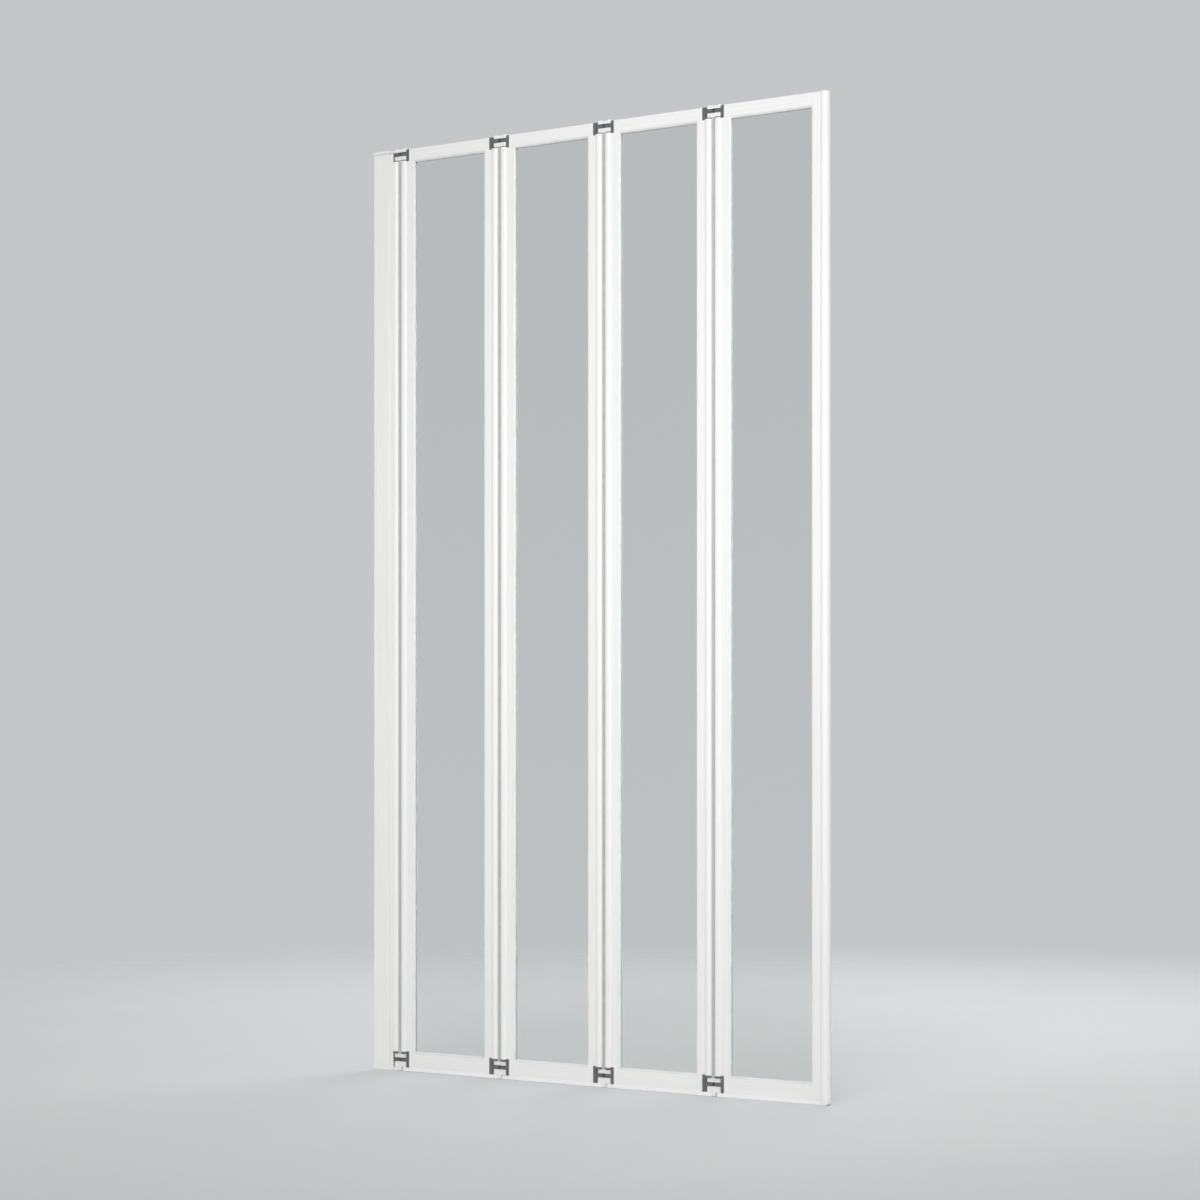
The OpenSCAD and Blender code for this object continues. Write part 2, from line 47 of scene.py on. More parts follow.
def linear(code):
    """sRGB hex such as "#F2F2EF" to linear: c / 12.92 up to 0.04045, above it
    ((c + 0.055) / 1.055) to the power 2.4, with an alpha of 1."""
    c = np.array([int(code[i:i + 2], 16) for i in (1, 3, 5)]) / 255
    return (*np.where(c <= 0.04045, c / 12.92, ((c + 0.055) / 1.055) ** 2.4), 1.0)


def add(tree, kind, settings=None, links=None):
    """Adds a node to a tree. Settings are attributes in lower case, or inputs by
    their name or number, and links join an input to another node's output."""
    node = tree.nodes.new(kind)
    for key, value in (settings or {}).items():
        if isinstance(key, str) and key[0].islower():
            setattr(node, key, value)
        else:
            node.inputs[key].default_value = value
    for key, socket in (links or {}).items():
        tree.links.new(socket, node.inputs[key])
    return node


def finish(name, **uniform):
    """An empty material with one Principled shader; uniform values go straight on
    its sockets. Returns the material, its tree and the shader."""
    material = bpy.data.materials.new(name)
    material.use_nodes = True
    tree = material.node_tree
    tree.nodes.clear()
    shader = add(tree, "ShaderNodeBsdfPrincipled",
                 {key.replace("_", " "): value for key, value in uniform.items()})
    add(tree, "ShaderNodeOutputMaterial", links={"Surface": shader.outputs[0]})
    return material, tree, shader


def mottled(tree, shader, at, size, light, dark, smooth, rough):
    """Lets colour run between two hex values and roughness between two numbers,
    over cloudy patches of a size in mm."""
    cloud = add(tree, "ShaderNodeTexNoise", {"Scale": 1000 / size, "Detail": 3.0}, {"Vector": at})
    share = add(tree, "ShaderNodeMapRange", {"From Min": 0.3, "From Max": 0.7},
                {"Value": cloud.outputs["Fac"]})
    colour = add(tree, "ShaderNodeMix", {"data_type": "RGBA", 6: linear(dark), 7: linear(light)},
                 {0: share.outputs[0]})
    tree.links.new(colour.outputs[2], shader.inputs["Base Color"])
    shine = add(tree, "ShaderNodeMapRange", {"To Min": rough, "To Max": smooth},
                {"Value": share.outputs[0]})
    tree.links.new(shine.outputs[0], shader.inputs["Roughness"])


def powder_coat(name, across):
    """Polyester powder on extruded aluminium, stoved: a satin white skin with orange
    peel, over the faint lines that the die drew. across holds how fast the lines
    change along X, Y and Z, and is near 0 along the bar."""
    material, tree, shader = finish(name, IOR=1.5)
    at = add(tree, "ShaderNodeTexCoord").outputs["Object"]
    bar = add(tree, "ShaderNodeMapping", {"Scale": across}, {"Vector": at})
    # the coat is a little thinner over the ridges that the die left, 2.5 mm apart
    mottled(tree, shader, bar.outputs[0], 2.5, "#F5F5F3", "#EFEFED", 0.28, 0.4)
    # orange peel is about 1.5 mm from crest to crest; it is drawn at 2.5 mm to show
    peel = add(tree, "ShaderNodeTexNoise", {"Scale": 1000 / 2.5, "Detail": 1.0}, {"Vector": at})
    skin = add(tree, "ShaderNodeBump", {"Strength": 0.6, "Distance": 0.0003},
               {"Height": peel.outputs["Fac"]})
    # die lines are under 0.1 mm wide; they are drawn at 0.8 mm
    drawn = add(tree, "ShaderNodeTexNoise", {"Scale": 1000 / 0.8, "Detail": 2.0},
                {"Vector": bar.outputs[0]})
    lines = add(tree, "ShaderNodeBump", {"Strength": 0.35, "Distance": 0.0001},
                {"Height": drawn.outputs["Fac"], "Normal": skin.outputs[0]})
    tree.links.new(lines.outputs[0], shader.inputs["Normal"])
    return material


# faces that meet at less than this angle shade as one round surface
shade_as_one = math.radians(34)
round_shading = bpy.data.node_groups.new("round_shading", "GeometryNodeTree")
for way in ("INPUT", "OUTPUT"):
    round_shading.interface.new_socket("Geometry", in_out=way, socket_type="NodeSocketGeometry")
whole = add(round_shading, "GeometryNodeSetShadeSmooth", {"domain": "FACE", 2: True},
            {0: add(round_shading, "NodeGroupInput").outputs[0]})
turn = add(round_shading, "GeometryNodeInputMeshEdgeAngle")
sharp = add(round_shading, "FunctionNodeCompare", {"operation": "GREATER_THAN", 1: shade_as_one},
            {0: turn.outputs[0]})
creased = add(round_shading, "GeometryNodeSetShadeSmooth", {"domain": "EDGE", 2: False},
              {0: whole.outputs[0], 1: sharp.outputs[0]})
add(round_shading, "NodeGroupOutput", links={0: creased.outputs[0]})


weld_gap = 2e-6                                 # corners this close are one, in metres
edge_from = math.radians(50)                    # a sharper turn is an edge; curves turn less


def dress(name, material, radius):
    """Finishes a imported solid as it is: its loose triangles are welded, its edges
    get a radius in mm, and it takes a material."""
    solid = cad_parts[name]
    solid.modifiers.new("weld", "WELD").merge_threshold = weld_gap
    edge = solid.modifiers.new("edge_radius", "BEVEL")
    edge.width, edge.segments = radius / 1000, 2
    edge.limit_method, edge.angle_limit = "ANGLE", edge_from
    solid.modifiers.new("round_shading", "NODES").node_group = round_shading
    solid.modifiers.new("flats_stay_flat", "WEIGHTED_NORMAL").keep_sharp = True
    for slot in solid.material_slots:
        slot.material = material


die_stretch = 0.012                             # lines run on for 80 times their width
sawn_edge = 0.3
coat_upright = powder_coat("white_powder_coat_upright", (1, 1, die_stretch))
dress("wall_channel", coat_upright, sawn_edge)

# ---- Adjusting profile -------------------------------------------------------
# The hollow aluminium profile that slides in the channel to make up for a wall out
# of plumb, with the first round nose along its front. Same bar stock and coating.

dress("adjusting_profile", coat_upright, sawn_edge)

# ---- Adjusting screws and their covers ---------------------------------------
# Three stainless pan-head screws hold the profile in the channel, from the back.
# A turned head with a cross recess, under a white pressed-on cover with a domed face.

WALL = "wall"


def turned(rows, axes, origin, arm=0.0, half=0.42):
    """A solid of revolution with one pole at each end. Rows are radius and height,
    and a third number of 1 makes a row a cross, arm long and half wide either way,
    scaled by its radius: the radius at an angle is the smaller of arm over the
    larger and half over the smaller of |cos| and |sin|. Axes are the unit vectors of
    the two directions across and of the height."""
    rows = np.array([(*row, 0)[:3] for row in rows], float)
    corner = math.atan2(half, arm) if arm else math.pi / 8
    quarter = np.concatenate([np.linspace(-corner, corner, 4)[:-1],
                              np.linspace(corner, math.pi / 2 - corner, 5)[:-1]])
    a = (np.arange(4)[:, None] * math.pi / 2 + quarter).ravel()
    cos, sin = np.abs(np.cos(a)), np.abs(np.sin(a))
    cross = np.minimum(arm / np.maximum(cos, sin), half / np.maximum(np.minimum(cos, sin), 1e-9))
    r = rows[1:-1, :1] * np.where(rows[1:-1, 2:] > 0, cross, 1.0)
    h = np.broadcast_to(rows[1:-1, 1:2], r.shape)
    ring = np.stack([r * np.cos(a), r * np.sin(a), h], -1).reshape(-1, 3)
    poles = [(0, 0, rows[0, 1]), (0, 0, rows[-1, 1])]
    n, t = len(a), len(rows) - 2
    grid = np.arange(n * t).reshape(t, n)
    after = np.roll(grid, -1, 1)
    quads = np.stack([grid[:-1], after[:-1], after[1:], grid[1:]], -1).reshape(-1, 4)
    first = np.column_stack([after[0], grid[0], np.full(n, n * t)])
    last = np.column_stack([grid[-1], after[-1], np.full(n, n * t + 1)])
    faces = [*quads.tolist(), *first.tolist(), *last.tolist()]
    return placed(np.vstack([ring, poles]), faces, [0] * len(faces), axes, origin)


def placed(points, faces, kinds, axes, origin):
    """Points times the axes, from an origin in mm. Faces are turned round where the
    axes are left-handed, so that they still point outwards."""
    axes = np.array(axes, float)
    if np.linalg.det(axes) < 0:
        faces = [face[::-1] for face in faces]
    return points @ axes + np.array(origin, float), faces, kinds


def piece(name, solids, body, node, slot, *materials):
    """One object of solids in mm, each with points, faces and the number of every
    face's material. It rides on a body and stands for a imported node."""
    begin = np.cumsum([0] + [len(points) for points, _, _ in solids])
    faces = [(np.array(face) + b).tolist() for (_, fs, _), b in zip(solids, begin) for face in fs]
    mesh = bpy.data.meshes.new(name)
    mesh.from_pydata(np.concatenate([points for points, _, _ in solids]) / 1000, [], faces)
    mesh.polygons.foreach_set("material_index", [k for _, _, kinds in solids for k in kinds])
    mesh.shade_smooth()
    mesh.set_sharp_from_angle(angle=shade_as_one)
    for material in materials:
        mesh.materials.append(material)
    made = bpy.data.objects.new(name, mesh)
    bpy.context.scene.collection.objects.link(made)
    made.modifiers.new("flats_stay_flat", "WEIGHTED_NORMAL").keep_sharp = True
    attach(made, body)
    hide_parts(node)


# stainless steel: a neutral grey mirror, blurred by turning and tumbling
stainless, tree, shader = finish("stainless_steel_turned", Metallic=1.0)
at = add(tree, "ShaderNodeTexCoord").outputs["Object"]
mottled(tree, shader, at, 3, "#CDCDCB", "#B9B9B8", 0.22, 0.34)

# white ABS, injection moulded in a finely spark-eroded tool: a soft even sheen
moulded_white, tree, shader = finish("white_abs_moulded", IOR=1.53)
at = add(tree, "ShaderNodeTexCoord").outputs["Object"]
mottled(tree, shader, at, 25, "#F2F2F0", "#EDEDEB", 0.3, 0.38)
# the spark texture is 0.1 mm; it is drawn at 0.6 mm
spark = add(tree, "ShaderNodeTexNoise", {"Scale": 1000 / 0.6, "Detail": 2.0}, {"Vector": at})
tooled = add(tree, "ShaderNodeBump", {"Strength": 0.1, "Distance": 0.0001},
             {"Height": spark.outputs["Fac"]})
tree.links.new(tooled.outputs[0], shader.inputs["Normal"])

ACROSS = ((1, 0, 0), (0, 0, 1), (0, 1, 0))      # height runs along +Y
screw_x, screw_heights = 20.0, (180.0, 700.0, 1220.0)
back_y = 8.9                                    # back face of the channel
recess = 1.5                                    # arm of a size 2 cross recess


def pan_screw(reach):
    """Rows of a pan-head screw, height from its seat: the head below 0 with its cross
    recess, and the shank above, to its reach."""
    return [(0, -1.0), (0.55, -1.0, 1), (1, -2.05, 1), (1.9, -2.2), (2.45, -2.05),
            (2.78, -1.65), (2.9, -1.1), (2.9, -0.1), (2.8, 0), (1.5, 0), (1.5, reach - 0.8),
            (0.9, reach), (0, reach)]


# the screws go in from the back, so their rows are mirrored and read the other way
from_back = [(radius, -height, *mark) for radius, height, *mark in pan_screw(8.7)][::-1]
domed_cover = [(0, 2.35), (3.1, 2.35), (3.1, 0.15), (3.3, 0), (5.2, 0), (5.5, 0.25), (5.38, 0.9),
               (5.0, 2.35), (4.7, 2.8), (4.1, 3.1), (2.8, 3.3), (1.4, 3.38), (0, 3.4)]
screws = [turned(from_back, ACROSS, (screw_x, back_y, z), recess) for z in screw_heights]
covers = [turned(domed_cover, ACROSS, (screw_x, back_y, z)) for z in screw_heights]
piece("adjusting_pan_screws", screws, WALL, "adjusting_screws", "steel", stainless)
piece("adjusting_screw_covers", covers, WALL, "screw_covers", "white_moulding", moulded_white)

# ---- Wall caps ---------------------------------------------------------------
# Two white ABS mouldings close the channel and the profile. The upper one stands
# a little proud all round, with softly rounded edges and a plug below; the foot
# one lies flush inside and ends in a tongue in line with the drip seals.


def rounded(corners, steps=3):
    """Rounds a closed polygon given as rows of x, y and radius. Each arc's middle
    lies on the line that halves the corner, radius over the sine of half the angle
    away, and its ends touch both sides. A radius of 0 keeps the corner."""
    c = np.array(corners, float)
    p, r = c[:, :2], c[:, 2]
    back, on = np.roll(p, 1, 0) - p, np.roll(p, -1, 0) - p
    back /= np.linalg.norm(back, axis=1)[:, None]
    on /= np.linalg.norm(on, axis=1)[:, None]
    half = np.arccos(np.clip((back * on).sum(1), -1, 1)) / 2
    split = back + on
    split /= np.maximum(np.linalg.norm(split, axis=1), 1e-9)[:, None]
    middle = p + split * (r / np.sin(half))[:, None]
    reach = (r / np.tan(half))[:, None]
    begin, end = p + back * reach - middle, p + on * reach - middle
    a = np.arctan2(begin[:, 1], begin[:, 0])
    sweep = (np.arctan2(end[:, 1], end[:, 0]) - a + math.pi) % (2 * math.pi) - math.pi
    a = a[:, None] + sweep[:, None] * np.linspace(0, 1, steps + 1)
    points = middle[:, None] + r[:, None, None] * np.stack([np.cos(a), np.sin(a)], -1)
    points = points.reshape(-1, 2)
    return points[np.linalg.norm(points - np.roll(points, 1, 0), axis=1) > 1e-6]


def drawn_in(loop, inset):
    """Every side of a loop moved to its left by inset, with mitred corners: a point
    plus inset times (m + n) / (1 + m . n), m and n the left normals of its sides."""
    side = np.roll(loop, -1, 0) - loop
    n = np.column_stack([-side[:, 1], side[:, 0]]) / np.linalg.norm(side, axis=1)[:, None]
    m = np.roll(n, 1, 0)
    return loop + inset * (m + n) / (1 + (m * n).sum(1))[:, None]


def rim(low, high, r_low, r_high, steps=3):
    """Stations of a bar from low to high whose ends are rounded: quarter circles,
    r (1 - cos a) along and r (1 - sin a) in."""
    a = np.linspace(0, math.pi / 2, steps + 1)
    start = a if r_low else a[-1:]
    stop = a[::-1] if r_high else a[-1:]
    along = np.concatenate([low + r_low * (1 - np.cos(start)), high - r_high * (1 - np.cos(stop))])
    return along, np.concatenate([r_low * (1 - np.sin(start)), r_high * (1 - np.sin(stop))])


def carried(loops, stations, axes, origin, wall=0, cap=0):
    """A section carried along a straight line, as a closed solid. The first loop is
    the outline, counter-clockwise, and the others are holes, clockwise. At station i
    the section stands along[i] up the third axis, drawn in by inset[i]. Wall and cap
    are the material numbers of the sides and of both ends."""
    along, inset = (np.array(s, float) for s in stations)
    t, points, faces, grids, begin = len(along), [], [], [], 0
    for loop in loops:
        n = len(loop)
        flat = np.stack([drawn_in(loop, d) for d in inset])
        up = np.broadcast_to(along[:, None, None], (t, n, 1))
        points.append(np.concatenate([flat, up], 2).reshape(-1, 3))
        grid = begin + np.arange(t * n).reshape(t, n)
        after = np.roll(grid, -1, 1)
        faces += np.stack([grid[:-1], after[:-1], after[1:], grid[1:]], -1).reshape(-1, 4).tolist()
        grids.append(grid)
        begin += t * n
    kinds = [wall] * len(faces)
    points = np.concatenate(points)
    for station, up in ((0, False), (t - 1, True)):
        index = np.concatenate([grid[station] for grid in grids])
        rings = [points[grid[station]].tolist() for grid in grids]
        three = index[np.array(tessellate_polygon(rings))]
        p = points[three][:, :, :2]
        turn = np.cross(p[:, 1] - p[:, 0], p[:, 2] - p[:, 0]) > 0
        three = np.where((turn == up)[:, None], three, three[:, ::-1])
        faces += three.tolist()
        kinds += [cap] * len(three)
    return placed(points, faces, kinds, axes, origin)


UP = ((1, 0, 0), (0, 1, 0), (0, 0, 1))
plug_foot, cap_foot, cap_top = 1389.5, 1396.5, 1400.5
cap_plan = rounded([(0, -10.8, 0.5), (34.9, -10.8, 2), (34.9, 10.8, 2), (0, 10.8, 0.5)], 5)
plug_plan = rounded([(10.7, -5.3, 0.8), (20, -5.3, 0.8), (20, 5.3, 0.8), (10.7, 5.3, 0.8)])
piece("wall_top_cap_moulding",
      [carried([cap_plan], rim(cap_foot, cap_top, 0.25, 0.9, 4), UP, (0, 0, 0)),
       carried([plug_plan], rim(plug_foot, cap_foot, 0.8, 0), UP, (0, 0, 0))],
      WALL, "wall_top_cap", "white_moulding", moulded_white)
dress("wall_bottom_cap", moulded_white, radius=0.25)

# ---- Bearing blocks of the wall profile --------------------------------------
# One at each end, moulded in grey glass-filled nylon: an arm round the first pin
# and a leg plugged into the profile, held by an upright screw in its port.

# glass-filled nylon 6: mid grey, satin, with a faint cloudy flow from the gate
nylon, tree, shader = finish("grey_nylon_glass_filled", IOR=1.53)
at = add(tree, "ShaderNodeTexCoord").outputs["Object"]
mottled(tree, shader, at, 4, "#6C6D6F", "#5D5E60", 0.36, 0.5)
# fibres lie just under the skin, 0.2 mm long; they are drawn at 0.7 mm
fibre = add(tree, "ShaderNodeTexNoise", {"Scale": 1000 / 0.7, "Detail": 3.0}, {"Vector": at})
grain = add(tree, "ShaderNodeBump", {"Strength": 0.15, "Distance": 0.0001},
            {"Height": fibre.outputs["Fac"]})
tree.links.new(grain.outputs[0], shader.inputs["Normal"])

moulded_edge = 0.3
dress("wall_hinge_blocks", nylon, moulded_edge)
DOWN = ((1, 0, 0), (0, 1, 0), (0, 0, -1))
wall_port, upper_seat, lower_seat = 30.0, 1394.3, 16.2
piece("wall_block_pan_screws",
      [turned(pan_screw(17.4), DOWN, (wall_port, 0, upper_seat), recess),
       turned(pan_screw(19.0), UP, (wall_port, 0, lower_seat), recess)],
      WALL, "wall_block_screws", "steel", stainless)

# ---- Joints ------------------------------------------------------------------
# Each joint turns on four pins, two above and two below, between moulded link
# plates. The upper pins are stainless with a white enamelled domed head on the
# outer plate; the lower ones have flat heads sunk in the plate over the seals.

JOINTS = (1, 2, 3, 4)
first_joint, pitch, pivot = 48.5, 199.0, 8.75    # pivot: from the joint's middle to a pin

# stove enamel on a steel head: white, glossier than the powder coat
enamel, tree, shader = finish("white_enamel_on_steel", IOR=1.5, Coat_Weight=0.3,
                              Coat_Roughness=0.1)
at = add(tree, "ShaderNodeTexCoord").outputs["Object"]
mottled(tree, shader, at, 5, "#F3F3F1", "#ECECEA", 0.2, 0.26)

domed_head = [(0, -0.2), (4.15, -0.2), (4.2, 0.0), (4.2, 0.5), (4.1, 0.78), (3.8, 1.02),
              (3.2, 1.28), (2.2, 1.56), (1.1, 1.74), (0, 1.8)]
shank = [(0, -15.0), (1.7, -15.0), (2.0, -14.7), (2.0, -0.1), (0, -0.1)]
sunk_head = [(0, 0), (2.95, 0), (3.2, 0.25), (3.2, 1.5), (3.1, 1.6), (2.0, 1.6), (2.0, 18.5),
             (1.7, 18.8), (0, 18.8)]
plate_top, plate_foot = 1401.2, 5.8
for k in JOINTS:
    dress(f"joint_{k}_link_plates", moulded_white, radius=0.4)
    pins = []
    for x in first_joint + (k - 1) * pitch + pivot * np.array([-1, 1]):
        points, faces, kinds = turned(domed_head, UP, (x, 0, plate_top))
        pins.append((points, faces, [1] * len(faces)))
        pins.append(turned(shank, UP, (x, 0, plate_top)))
        pins.append(turned(sunk_head, UP, (x, 0, plate_foot)))
    piece(f"joint_{k}_hinge_pins", pins, f"link_{k}", f"joint_{k}_pins", "steel",
          stainless, enamel)

# ---- Joint strips ------------------------------------------------------------
# A soft extrusion of light grey thermoplastic rubber closes the gap between two
# noses. Both sides are hollow, to clear the noses as they turn, and its faces
# have a shallow groove down the middle.

# thermoplastic rubber: light grey, matt, a little cloudy
grey_rubber, tree, shader = finish("light_grey_tpe_extruded", IOR=1.5)
at = add(tree, "ShaderNodeTexCoord").outputs["Object"]
mottled(tree, shader, at, 8, "#C1C3C4", "#B7B9BA", 0.5, 0.62)


def arc(x, y, r, start, end, steps):
    """Points on a circle about (x, y), their angle going evenly from start to end in
    degrees, each with a corner radius of 0."""
    a = np.radians(np.linspace(start, end, steps + 1))
    return np.column_stack([x + r * np.cos(a), y + r * np.sin(a), 0 * a])


strip_y, hollow_r, strip_foot, strip_top = 5.0, 7.8, 25.7, 1384.7
hollow = math.degrees(math.asin(strip_y / hollow_r))
right_hollow = arc(pivot, 0, hollow_r, 180 + hollow, 180 - hollow, 16)
right_hollow[[0, -1], 2] = 0.25
front_groove = np.array([(-0.6, -strip_y, 0.1), (0, -4.5, 0.2), (0.6, -strip_y, 0.1)])
strip = rounded(np.vstack([right_hollow, front_groove * (-1, -1, 1),
                           right_hollow * (-1, -1, 1), front_groove]))
for k in JOINTS:
    middle = first_joint + (k - 1) * pitch
    piece(f"joint_{k}_soft_strip",
          [carried([strip], rim(strip_foot, strip_top, 0.15, 0.15, 2), UP, (middle, 0, 0))],
          f"link_{k}", f"joint_{k}_seal", "grey_seal", grey_rubber)

# ---- Stiles ------------------------------------------------------------------
# The upright bars of each pane: one aluminium extrusion with a closed round nose
# on the pivot axis, a screw port, and a channel for the glass. The nose is cut back
# at both ends for the fitting, which leaves the two flat lips running through.

# pane k starts at its left nose's axis, and its length is that to its right nose's
PANELS = (1, 2, 3, 4)
lengths = (181.5, 181.5, 181.5, 182.75)
first_axis = first_joint + pivot
panes = [(k, first_axis + (k - 1) * pitch, length) for k, length in zip(PANELS, lengths)]
nose, bore, flat, lip_x = 7.5, 6.1, 4.75, 18.95  # radii, half thickness, reach to the glass
slot_y, slot_x, wall_x = 3.35, 11.55, 10.15      # half the glass channel, both sides of its floor
port_x, port_r, sleeve_r = 8.55, 1.5, 2.9        # the screw port and the sleeve round it

# end grain of the bar where it was sawn after coating: bare, finely scored metal
cut_metal, tree, shader = finish("aluminium_sawn", Metallic=1.0)
at = add(tree, "ShaderNodeTexCoord").outputs["Object"]
mottled(tree, shader, at, 1.5, "#D6D7D8", "#C2C3C5", 0.3, 0.45)

crease = math.degrees(math.asin(flat / nose))
crease_x = math.sqrt(nose ** 2 - flat ** 2)
outline = rounded(np.vstack([
    [(crease_x, flat, 0.5)],
    arc(0, 0, nose, crease, 360 - crease, 94)[1:-1],
    [(crease_x, -flat, 0.5), (lip_x, -flat, 0.3), (lip_x, -slot_y, 0.25),
     (slot_x, -slot_y, 0.3), (slot_x, slot_y, 0.3), (lip_x, slot_y, 0.25),
     (lip_x, flat, 0.3)]]))
inner = math.degrees(math.asin(slot_y / bore))
chamber = rounded(np.vstack([
    arc(0, 0, bore, inner, 360 - inner, 48),
    [(wall_x, -slot_y, 0.2), (wall_x, -sleeve_r, 0.1)],
    arc(port_x, 0, sleeve_r, 270, 90, 20),
    [(wall_x, sleeve_r, 0.1), (wall_x, slot_y, 0.2)]]))[::-1]
port = arc(port_x, 0, port_r, 0, -360, 20)[:-1, :2]

# next to each notch the bar is cut back in two steps: the nose alone runs 1 mm further
# than the web, open towards the glass from half_open on, and the lips run to the ends
web_foot, web_top, nose_step, half_open, lip_root = 30.1, 1382.0, 1.0, 4.75, 10.55
bar_foot, bar_top = 5.5, 1400.0
free_foot, free_top = 8.5, 1397.0                # the free end's stile, between its caps
open_nose = math.degrees(math.acos(half_open / nose))
open_bore = math.degrees(math.acos(half_open / bore))
nose_end = rounded(np.vstack([arc(0, 0, nose, open_nose, 360 - open_nose, 80),
                              arc(0, 0, bore, 360 - open_bore, open_bore, 40)]))
lip_end = rounded([(lip_root, -flat, 0), (lip_x, -flat, 0.3), (lip_x, -slot_y, 0.25),
                   (lip_root, -slot_y, 0)])
lip_twin = (lip_end * (1, -1))[::-1]


def stile(name, axis, way, body, node, cut_back=True):
    """One stile, its section carried up at a pivot axis; way is 1 with the glass on
    its right and -1 with it on its left."""
    axes, origin = ((way, 0, 0), (0, 1, 0), (0, 0, 1)), (axis, 0, 0)
    whole_bar = [outline, chamber, port]
    if cut_back:
        solids = [carried(whole_bar, rim(web_foot, web_top, 0, 0), axes, origin, 0, 1)]
        for ends in (rim(web_foot - nose_step, web_foot, 0.2, 0),
                     rim(web_top, web_top + nose_step, 0, 0.2)):
            solids.append(carried([nose_end], ends, axes, origin, 0, 1))
        for ends in (rim(bar_foot, web_foot, 0.15, 0), rim(web_top, bar_top, 0, 0.15)):
            for loop in (lip_end, lip_twin):
                solids.append(carried([loop], ends, axes, origin, 0, 1))
    else:
        solids = [carried(whole_bar, rim(free_foot, free_top, 0.15, 0.15), axes, origin, 0, 1)]
    piece(name, solids, body, node, "white_aluminium", coat_upright, cut_metal)


for k, axis, length in panes:
    body = f"panel_{k}"
    stile(f"panel_{k}_stile_left", axis, 1, body, f"panel_{k}_left_stile")
    stile(f"panel_{k}_stile_right", axis + length, -1, body, f"panel_{k}_right_stile", k < 4)

# ---- Rails -------------------------------------------------------------------
# Top and bottom bars between the stiles, cut square from their own extrusion, with
# countersunk holes for the key screws and a T-slot under the lower one. Same coating,
# with the die lines running along X.

coat_level = powder_coat("white_powder_coat_level", (die_stretch, 1, 1))
for k in PANELS:
    dress(f"panel_{k}_top_rail", coat_level, sawn_edge)
    dress(f"panel_{k}_bottom_rail", coat_level, sawn_edge)

# ---- Glass -------------------------------------------------------------------
# A pane of 4 mm toughened float glass for each panel, with its edges ground and its
# corners dubbed before toughening. It is held all round by the gasket.

glass_in, glass_foot, glass_top = 13.15, 21.7, 1388.2   # glass_in: from a nose's axis
dubbed, half_glass, arris = 1.5, 1.98, 0.38      # corners, half thickness, ground edge

# float glass: clear, with the faint green of its iron
pane_glass, tree, shader = finish("clear_float_glass", IOR=1.52, Roughness=0.0,
                                  Transmission_Weight=1.0)
shader.inputs["Base Color"].default_value = linear("#F1F4F3")
path = add(tree, "ShaderNodeLightPath")
clear = add(tree, "ShaderNodeBsdfTransparent", {"Color": linear("#EFF3F1")})
mixed = add(tree, "ShaderNodeMixShader", links={0: path.outputs["Is Shadow Ray"],
                                                1: shader.outputs[0], 2: clear.outputs[0]})
output = next(n for n in tree.nodes if n.bl_idname == "ShaderNodeOutputMaterial")
tree.links.new(mixed.outputs[0], output.inputs["Surface"])

# the ground edge: frosted, and greener, because light has come a long way in the pane
ground_edge, tree, shader = finish("ground_glass_edge", IOR=1.52, Transmission_Weight=0.6)
at = add(tree, "ShaderNodeTexCoord").outputs["Object"]
mottled(tree, shader, at, 2, "#9CC4B4", "#86B3A1", 0.4, 0.55)

LEVEL = ((1, 0, 0), (0, 0, 1), (0, 1, 0))        # a section in X and Z, carried along Y
rim_of_glass = ((-half_glass, arris - half_glass, half_glass - arris, half_glass),
                (arris, 0, 0, arris))
for k, axis, length in panes:
    x0, x1 = glass_in, length - glass_in
    plan = rounded([(x0, glass_foot, dubbed), (x1, glass_foot, dubbed),
                    (x1, glass_top, dubbed), (x0, glass_top, dubbed)])
    pane = carried([plan], rim_of_glass, LEVEL, (axis, 0, 0), 1, 0)
    piece(f"panel_{k}_glass_pane", [pane], f"panel_{k}", f"panel_{k}_glass", "clear_glass",
          pane_glass, ground_edge)

# ---- Gaskets -----------------------------------------------------------------
# Soft PVC round the edge of every pane, U-shaped, mitred and welded at the corners.
# On each face a rounded lip slopes from the metal down to the glass.

sight, sight_foot, sight_top = 22.15, 30.7, 1379.2   # the clear opening, from a nose's axis

# plasticised PVC: pale and slightly milky, with a soft shine
soft_pvc, tree, shader = finish("pale_pvc_soft", IOR=1.52, Subsurface_Weight=0.15,
                                Subsurface_Scale=0.002)
at = add(tree, "ShaderNodeTexCoord").outputs["Object"]
mottled(tree, shader, at, 12, "#EEEFEE", "#E4E6E5", 0.32, 0.42)

# half the section, as distance outwards from the opening, distance from the middle of
# the glass, and radius: the outer face in the slot, the lip, and the face on the glass
lip = [(3.2, 4.5, 0.25), (2.2, 4.28, 0.6), (0.9, 3.6, 0.8), (0.0, 2.75, 0.35), (0.0, 2.05, 0.2)]
half = np.array([(10.5, slot_y, 0.4), (3.2, slot_y, 0.1), *lip, (9.03, 2.05, 0.1)])
gasket_loop = rounded(np.vstack([half, half[::-1] * (1, -1, 1)]))


